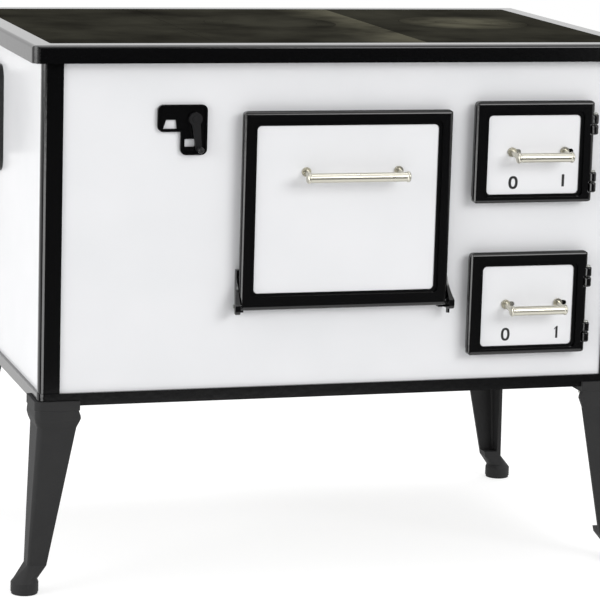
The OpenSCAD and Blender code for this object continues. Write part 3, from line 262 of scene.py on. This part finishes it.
def ground_iron(name, sheen_colour=None, turned_about=None, sheen_from_x=None):
    """Ground cast iron; its painted sheen lies near a turned middle, or to the right of an x."""
    material, tree, shader, place = new_finish(name, OILED_DARK, 0.0, 0.6)
    shader.inputs["Specular IOR Level"].default_value = 0.0
    lines = add(tree, "Mapping", {"Vector": place, "Scale": STRETCHED_ALONG_X}).outputs[0]
    sheen_mask = None
    if turned_about is not None:
        offset = add(tree, "VectorMath", {0: place, 1: turned_about}, operation="SUBTRACT")
        flat = add(tree, "VectorMath", {0: offset.outputs[0], 1: (1.0, 1.0, 0.0)},
                   operation="MULTIPLY")
        reach = add(tree, "VectorMath", {0: flat.outputs[0]}, operation="LENGTH").outputs["Value"]
        lines = add(tree, "CombineXYZ", {"X": reach}).outputs[0]
        # painted sheen, growing towards the turned middle
        sheen_mask = add(tree, "MapRange", {"Value": reach, "From Min": RING_SHEEN_STARTS,
                                      "From Max": RING_SHEEN_FULL})
    elif sheen_from_x is not None:
        # painted sheen, growing towards the plate's right edge
        x = add(tree, "SeparateXYZ", {0: place}).outputs["X"]
        sheen_mask = add(tree, "MapRange", {"Value": x, "From Min": sheen_from_x,
                                      "From Max": sheen_from_x + EDGE_SHEEN_WIDTH})
    cloud = add(tree, "TexNoise", {"Vector": place, "Scale": per_metre(110), "Detail": 4.0,
                                   "Roughness": 0.55})
    oil = add(tree, "MapRange", {"Value": cloud.outputs["Fac"], "From Min": 0.3, "From Max": 0.7})
    colour = between(tree, oil.outputs[0], OILED_DARK, OILED_LIGHT)
    # the painted sheen is laid over the oiled colour, unevenly with the oil
    if sheen_mask is not None:
        uneven_sheen = add(tree, "Math", {0: sheen_mask.outputs[0], 1: oil.outputs[0]}, operation="MULTIPLY")
        sheen_share = add(tree, "MapRange", {"Value": uneven_sheen.outputs[0], "From Max": 0.6})
        mix = add(tree, "Mix", {0: sheen_share.outputs[0], 6: colour, 7: linear(sheen_colour)},
                  data_type="RGBA")
        colour = mix.outputs[2]
    tree.links.new(colour, shader.inputs["Base Color"])
    shine = add(tree, "MapRange", {"Value": cloud.outputs["Fac"], "To Min": 0.5, "To Max": 0.7})
    tree.links.new(shine.outputs[0], shader.inputs["Roughness"])
    scratch = add(tree, "TexNoise", {"Vector": lines, "Scale": per_metre(1.2), "Detail": 2.0})
    dented(tree, shader, [(scratch.outputs["Fac"], 0.03, 0.5)])
    return material


def middle_of(node):
    low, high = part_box(node)
    return (low + high) / 2


plate_iron = ground_iron("ground_cast_iron")
middle_plate_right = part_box("hot_plate_middle")[1].x
# The middle plate gets a painted sheen along its right edge, and the rings one near their middle.
middle_plate_iron = ground_iron("ground_cast_iron_middle", PAINTED_SHEEN,
                                sheen_from_x=middle_plate_right - EDGE_SHEEN_WIDTH)
middle_turned = ground_iron("turned_cast_iron_middle", FAINT_PAINTED_SHEEN, middle_of("middle_lid"))
right_turned = ground_iron("turned_cast_iron_right", PAINTED_SHEEN, middle_of("right_lid"))
print("Cooking surface:", plate_iron.name, middle_plate_iron.name, middle_turned.name,
      right_turned.name)

# %% [markdown]
# ## Bright metals
#
# The handles are chromed steel rod, and so is the oven's shelf. New chrome is bluish and sharp,
# but the photograph shows these bars slightly warm and soft, so their colour is warm and a slow
# haze dulls them. Bolts and pins are zinc plated, which is greyer. The back and the sheets inside
# are bare rolled steel, and a noise stretched along Z draws their rolling marks.

# %% Chrome, zinc and sheet steel
STRETCHED_ALONG_Z = (1.0, 1.0, 0.04)


def polished_chrome():
    material, tree, shader, place = new_finish("polished_chrome", "#CBC8BB", 1.0, 0.3)
    haze = add(tree, "TexNoise", {"Vector": place, "Scale": per_metre(20), "Detail": 1.0})
    shine = add(tree, "MapRange", {"Value": haze.outputs["Fac"], "To Min": 0.24, "To Max": 0.36})
    tree.links.new(shine.outputs[0], shader.inputs["Roughness"])
    dented(tree, shader, [(haze.outputs["Fac"], 0.05, 0.1)])
    return material


def zinc_plate():
    material, tree, shader, place = new_finish("zinc_plated_steel", "#A9AAA4", 1.0, 0.35)
    bloom = add(tree, "TexVoronoi", {"Vector": place, "Scale": per_metre(2.5)})
    tree.links.new(between(tree, bloom.outputs["Distance"], "#B4B5AF", "#8F908B"),
                   shader.inputs["Base Color"])
    dented(tree, shader, [(bloom.outputs["Distance"], 0.03, 0.3)])
    return material


def rolled_sheet():
    material, tree, shader, place = new_finish("rolled_sheet_steel", "#8C8C88", 1.0, 0.4)
    along = add(tree, "Mapping", {"Vector": place, "Scale": STRETCHED_ALONG_Z}).outputs[0]
    marks = add(tree, "TexNoise", {"Vector": along, "Scale": per_metre(1.5), "Detail": 3.0})
    cloud = add(tree, "TexNoise", {"Vector": place, "Scale": per_metre(60), "Detail": 3.0})
    tree.links.new(between(tree, cloud.outputs["Fac"], "#92928D", "#868682"),
                   shader.inputs["Base Color"])
    shine = add(tree, "MapRange", {"Value": marks.outputs["Fac"], "To Min": 0.32, "To Max": 0.5})
    tree.links.new(shine.outputs[0], shader.inputs["Roughness"])
    dented(tree, shader, [(marks.outputs["Fac"], 0.02, 0.3)])
    return material


chrome = polished_chrome()
zinc = zinc_plate()
sheet_steel = rolled_sheet()
print("Metals:", chrome.name, zinc.name, sheet_steel.name)

# %% [markdown]
# ## Firebrick
#
# Firebricks are pressed from fireclay and crushed old brick, so a buff ground holds darker grains
# of 2 to 3 mm, and the surface is pitted where grains fell out.

# %% Fireclay
def fireclay():
    material, tree, shader, place = new_finish("pressed_fireclay", "#CDB68C", 0.0, 0.9)
    grains = add(tree, "TexVoronoi", {"Vector": place, "Scale": per_metre(3.5)})
    dark = add(tree, "MapRange", {"Value": grains.outputs["Distance"], "From Min": 0.12,
                                  "From Max": 0.4})
    tree.links.new(between(tree, dark.outputs[0], "#8F7650", "#CFB98F"),
                   shader.inputs["Base Color"])
    pores = add(tree, "TexNoise", {"Vector": place, "Scale": per_metre(1.5), "Detail": 3.0})
    dented(tree, shader, [(grains.outputs["Distance"], 0.4, 0.5),
                          (pores.outputs["Fac"], 0.4, 0.5)])
    return material


firebrick = fireclay()

# %% [markdown]
# ## Dressing the solids
#
# The record names a finish slot for each CAD piece. A table from slot to material dresses them
# all. Then a few pieces get a finish of their own, such as the turned rings and lids, whose
# scratches run in circles about their own middle.

# %% Dress every piece
finishes = {
    "black_enamel": black_enamel,
    "white_enamel": white_enamel,
    "leg_iron": leg_iron,
    "hotplate_iron": plate_iron,
    "inner_iron": inner_iron,
    "fastener_steel": zinc,
    "sheet_steel": sheet_steel,
    "oven_enamel": oven_enamel,
    "chrome": chrome,
    "firebrick": firebrick,
}


def dress(node, material):
    piece = nodes[node]
    if not piece.material_slots:
        piece.data.materials.append(material)
    for holder in piece.material_slots:
        holder.material = material


for entry in frame["record"]["subparts"]:
    dress(entry["node"], finishes[entry["material_slot"]])
dress("hot_plate_middle", middle_plate_iron)
for node in ("damper_lever", "damper_spindle"):
    dress(node, lever_iron)
for node in ("middle_ring", "middle_lid"):
    dress(node, middle_turned)
for node in ("right_outer_ring", "right_inner_ring", "right_lid"):
    dress(node, right_turned)
used = {holder.material.name for piece in nodes.values() for holder in piece.material_slots}
print("Dressed", len(nodes), "pieces with", len(used), "finishes.")

# %% [markdown]
# ## Digits on the small doors
#
# Each small door carries a 0 and a 1 below its handle, for air shut and air open. They are fired
# on as black enamel, some 0.1 mm thick, which is too thin for CAD. A text object could make them,
# but its font would be wrong, so the strokes are drawn: the 0 is an oval band and the 1 a plain
# bar, which has a flag on the lower door.

# %% Draw the digits
digit_enamel = stove_enamel("fired_digit_enamel", "#262627", "#303031", 8, 0.02, 0.3)
DIGIT_THICK, DIGIT_SUNK = 0.0001, 0.00002
SIDE_POWER, END_POWER = 0.8, 0.9  # below 1, an oval swells towards a rectangle
END_STROKE = 0.85  # the stroke at the 0's top and foot, as a share of its sides
FLAG_TIP, FLAG_ROOT = 0.0016, 0.75  # the tip's height in metres, the root's as a share of the flag


def oval(wide, high, stroke, steps=48):
    """The outline of a 0 as an outer and an inner ring of points."""
    rings = []
    for half_w, half_h in ((wide / 2, high / 2),
                           (wide / 2 - stroke, high / 2 - stroke * END_STROKE)):
        ring = []
        for i in range(steps):
            turn = 2 * math.pi * i / steps
            c, s = math.cos(turn), math.sin(turn)
            ring.append((half_w * math.copysign(abs(c) ** SIDE_POWER, c),
                         half_h * math.copysign(abs(s) ** END_POWER, s)))
        rings.append(ring)
    return rings


def stem(high, stroke, flag):
    """The outline of a 1, with an optional flag at its top left."""
    half, top = stroke / 2, high / 2
    if flag:
        return [[(-half, -top), (half, -top), (half, top), (0.0, top), (-flag, top - flag),
                 (-flag, top - flag - FLAG_TIP), (-half, top - flag * FLAG_ROOT)]]
    return [[(-half, -top), (half, -top), (half, top), (-half, top)]]


def lay_on_door(name, rings, centre_x, centre_z, panel, body):
    """Builds a thin plate between two rings, or inside one, on the face of a door's panel."""
    mesh = bmesh.new()
    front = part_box(panel)[0].y
    layers = []
    for y in (front - DIGIT_THICK, front + DIGIT_SUNK):
        layers.append([[mesh.verts.new((centre_x + x, y, centre_z + z)) for x, z in ring]
                       for ring in rings])
    count = len(rings[0])
    for i in range(count):
        j = (i + 1) % count
        if len(rings) == 2:
            mesh.faces.new((layers[0][0][i], layers[0][0][j], layers[0][1][j], layers[0][1][i]))
        for k in range(len(rings)):
            mesh.faces.new((layers[0][k][i], layers[0][k][j], layers[1][k][j], layers[1][k][i]))
    if len(rings) == 1:
        mesh.faces.new(layers[0][0])
    bmesh.ops.recalc_face_normals(mesh, faces=mesh.faces)
    data = bpy.data.meshes.new(name)
    mesh.to_mesh(data)
    mesh.free()
    piece = put(name, data)
    data.materials.append(digit_enamel)
    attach(piece, body)


# %% [markdown]
# Each digit's place was measured in the photograph, from the left and lower edge of the door's
# panel to the digit's middle and foot. They are not quite on one line. A row gives the digit's
# name, its door, its middle, its foot, its height and its outline.

# %% Lay them on the doors
door_digits = [
    ("fire_zero", "fire", 0.0390, 0.0072, 0.0182, oval(0.0138, 0.0182, 0.0040)),
    ("fire_one", "fire", 0.1131, 0.0097, 0.0172, stem(0.0172, 0.0038, 0.0)),
    ("ash_zero", "ash", 0.0371, 0.0070, 0.0184, oval(0.0130, 0.0184, 0.0036)),
    ("ash_one", "ash", 0.1139, 0.0087, 0.0172, stem(0.0172, 0.0032, 0.0038)),
]
for name, door, across, foot, high, rings in door_digits:
    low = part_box(door + "_door_panel")[0]
    lay_on_door(name, rings, low.x + across, low.z + foot + high / 2, door + "_door_panel",
                door + "_door")
print("Digits:", [row[0] for row in door_digits])

# %% [markdown]
# ## Studio
#
# The floor and the room look white, but what they cast on the cooker has to be set on its own.
# Blender tells a shader what kind of ray has met it, so a few nodes can tell the rays that look
# from the rays that light.

# %% Studio helpers
def bare_material(name):
    """Returns a new material without nodes, and its graph."""
    material = bpy.data.materials.new(name)
    material.use_nodes = True
    material.node_tree.nodes.clear()
    return material, material.node_tree


def seen_directly(tree):
    """Returns an output that is 1 for rays from the camera, a mirror or glass, and otherwise 0."""
    path = add(tree, "LightPath")
    direct = add(tree, "Math", {0: path.outputs["Is Camera Ray"],
                                1: path.outputs["Is Glossy Ray"]}, operation="ADD")
    seen = add(tree, "Math", {0: direct.outputs[0], 1: path.outputs["Is Transmission Ray"]},
               operation="ADD", use_clamp=True)
    return seen.outputs[0]


def stage_sheet(name, corners, material):
    """One flat face of the studio, which isn't part of the cooker."""
    data = bpy.data.meshes.new(name)
    data.from_pydata(corners, [], [(0, 1, 2, 3)])
    data.materials.append(material)
    sheet = put(name, data)
    sheet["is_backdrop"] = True
    return sheet


def square(half):
    return [(-half, -half, 0), (half, -half, 0), (half, half, 0), (-half, half, 0)]


# %% [markdown]
# The floor is a pale sheet that fades into a white surround. Part of its light is its own and part
# is cast by the lamps, so it looks white and still takes a soft shadow.

# %% Floor
FADE_STARTS, FADE_ENDS = 1.2, 3.5  # metres from the middle of the cooker
PAPER_GREY, PAPER_GLOW, CAST_GREY = 0.5, 0.69, 0.8
FLOOR_HALF, FLOOR_DROP = 30.0, 0.0005


def studio_floor():
    material, tree = bare_material("pale_floor")
    place = add(tree, "TexCoord").outputs["Object"]
    reach = add(tree, "VectorMath", {0: place}, operation="LENGTH").outputs["Value"]
    fade = add(tree, "MapRange", {"Value": reach, "From Min": FADE_STARTS, "From Max": FADE_ENDS},
               interpolation_type="SMOOTHSTEP").outputs[0]
    paper = add(tree, "BsdfDiffuse", {"Color": (PAPER_GREY, PAPER_GREY, PAPER_GREY, 1.0)})
    glow = add(tree, "Emission", {"Color": (1.0, 1.0, 1.0, 1.0), "Strength": PAPER_GLOW})
    both = add(tree, "AddShader", {0: paper.outputs[0], 1: glow.outputs[0]})
    white = add(tree, "Emission", {"Strength": 1.0})
    seen = add(tree, "MixShader", {0: fade, 1: both.outputs[0], 2: white.outputs[0]})
    cast = add(tree, "BsdfDiffuse", {"Color": (CAST_GREY, CAST_GREY, CAST_GREY, 1.0)})
    out = add(tree, "MixShader", {0: seen_directly(tree), 1: cast.outputs[0],
                                  2: seen.outputs[0]})
    add(tree, "OutputMaterial", {"Surface": out.outputs[0]})
    return material


floor = stage_sheet("floor", square(FLOOR_HALF), studio_floor())
floor.location.z = -FLOOR_DROP

# %% [markdown]
# Gloss black only looks black when it has something dark to reflect. The camera looks down a
# little, so the cooker's front mirrors the floor before it. Photographers spread and hang black
# cloth there, and so does this studio. Only reflections see the cloths, so they take no light from
# the white panels. Near the cooker the floor cloth thins out, so that its edge draws no line.

# %% Black cloths in front
CLOTH_HALF = 4.0
HUNG_AT, SPREAD_AT = (-0.6, -7.0, 2.2), (-0.8, -4.2, 0.002)
CLEAR_ABOUT, CLEAR_WITHIN, FULL_BEYOND = (0.1, -0.1, 0.0), 0.9, 1.4


def matt_cloth(name, clear_of=None):
    """Black cloth, which thins out towards clear_of, a point on the floor, where one is given."""
    material, tree, shader, _ = new_finish(name, "#050505", 0.0, 1.0)
    if clear_of is not None:
        spot = add(tree, "NewGeometry").outputs["Position"]
        away = add(tree, "VectorMath", {0: spot, 1: clear_of}, operation="DISTANCE")
        full = add(tree, "MapRange", {"Value": away.outputs["Value"], "From Min": CLEAR_WITHIN,
                                      "From Max": FULL_BEYOND}, interpolation_type="SMOOTHSTEP")
        tree.links.new(full.outputs[0], shader.inputs["Alpha"])
    return material


def only_in_reflections(piece):
    piece.visible_camera = False
    piece.visible_diffuse = False
    piece.visible_transmission = False
    piece.visible_shadow = False


hung = stage_sheet("hung_cloth", square(CLOTH_HALF), matt_cloth("hung_black_cloth"))
upright = Matrix.Rotation(math.radians(90), 4, "X")
hung.matrix_world = Matrix.Translation(HUNG_AT) @ upright
spread = stage_sheet("spread_cloth", square(CLOTH_HALF),
                     matt_cloth("spread_black_cloth", CLEAR_ABOUT))
spread.matrix_world = Matrix.Translation(SPREAD_AT)
for sheet in (hung, spread):
    only_in_reflections(sheet)

# %% [markdown]
# Rounded black edges come alive when they catch a lamp. A light strip lies on the cloth at the
# left, and it widens away from the cooker, so that it looks equally wide from every height. It,
# too, shows only in reflections, and it draws a thin bright line down the corner posts and down
# the left edges of the door castings, as in the photograph.

# %% Light strip
def plain_glow(name, strength):
    material, tree = bare_material(name)
    glow = add(tree, "Emission", {"Color": (1.0, 1.0, 1.0, 1.0), "Strength": strength})
    add(tree, "OutputMaterial", {"Surface": glow.outputs[0]})
    return material


BELOW_POST = Vector((cad_low.x + 0.08, -0.23, 0.004))  # about under the left post, on the cloth
NEAR, FAR = 1.2, 5.0  # metres from there
TURN_FROM, TURN_TO = math.radians(18), math.radians(62)  # to the left of straight ahead
strip_corners = [BELOW_POST - reach * Vector((math.sin(turn), math.cos(turn), 0.0))
                 for reach, turn in ((NEAR, TURN_FROM), (NEAR, TURN_TO), (FAR, TURN_TO),
                                     (FAR, TURN_FROM))]
strip = stage_sheet("light_strip", strip_corners, plain_glow("light_strip", strength=5.0))
only_in_reflections(strip)

# %% [markdown]
# The room is an even white. A soft lamp on the left lights the side panel, a stronger one at the
# right front fills the front, and one overhead draws the shadow under the cooker.

# %% World and lamps
def white_room(strength):
    """Looks plain white, and casts light of this strength."""
    world = bpy.data.worlds.new("white_room")
    bpy.context.scene.world = world
    world.use_nodes = True
    tree = world.node_tree
    tree.nodes.clear()
    level = add(tree, "MapRange", {"Value": seen_directly(tree), "To Min": strength,
                                   "To Max": 1.0})
    light = add(tree, "Background", {"Color": (1.0, 1.0, 1.0, 1.0), "Strength": level.outputs[0]})
    add(tree, "OutputWorld", {"Surface": light.outputs[0]})


def soft_lamp(name, place, aim, size, watts):
    data = bpy.data.lights.new(name, "AREA")
    data.shape = "RECTANGLE"
    data.size, data.size_y = size
    data.energy = watts
    lamp = put(name, data)
    lamp.location = place
    lamp.rotation_mode = "QUATERNION"
    lamp.rotation_quaternion = (Vector(aim) - Vector(place)).to_track_quat("-Z", "Y")


white_room(strength=0.55)
soft_lamp("lamp_left", (-3.3, -0.9, 1.3), (-0.2, 0.0, 0.5), (2.4, 2.0), 53)
soft_lamp("lamp_front", (2.3, -3.9, 2.3), (0.15, 0.0, 0.5), (2.6, 1.8), 84)
soft_lamp("lamp_over", (0.2, 0.4, 3.4), (0.0, 0.0, 0.7), (2.6, 2.2), 40)
print("Lamps: left, front and overhead.")

# %% [markdown]
# ## Camera
#
# The camera's place and lens were solved from straight edges of the cooker in the photograph. It
# stands at the left front, looks down by 11 degrees and is rolled by under two degrees.

# %% Camera
CAMERA_PLACE = Vector((-1.20915, -3.99821, 1.15115))
TURN, FALL, ROLL = (math.radians(a) for a in (17.104, 10.852, 1.689))
FOCAL_PIXELS, IMAGE_PIXELS, SENSOR_MM = 2923.15, 600, 36.0

ahead = Vector((math.sin(TURN) * math.cos(FALL), math.cos(TURN) * math.cos(FALL), -math.sin(FALL)))
level_right = Vector((math.cos(TURN), -math.sin(TURN), 0.0))
level_up = level_right.cross(ahead)
cam_right = math.cos(ROLL) * level_right + math.sin(ROLL) * level_up
cam_up = -math.sin(ROLL) * level_right + math.cos(ROLL) * level_up

lens = bpy.data.cameras.new("camera")
lens.sensor_width = SENSOR_MM
lens.lens = FOCAL_PIXELS * SENSOR_MM / IMAGE_PIXELS
lens.clip_start, lens.clip_end = 0.1, 100.0
camera = put("camera", lens)
axes = Matrix((cam_right, cam_up, -ahead)).transposed().to_4x4()
camera.matrix_world = Matrix.Translation(CAMERA_PLACE) @ axes
bpy.context.scene.camera = camera
bpy.context.scene.view_settings.view_transform = "Standard"
print("Lens:", round(lens.lens, 1), "mm")

# %% [markdown]
# ## Check and finish
#
# The growth of the dressed model's box over the CAD model's box is printed. The dressed model
# may not grow past the CAD model.

# %% Finish
low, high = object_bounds()
print("Grown by mm:", [round(1000 * v, 2) for v in (high - low) - (cad_high - cad_low)])
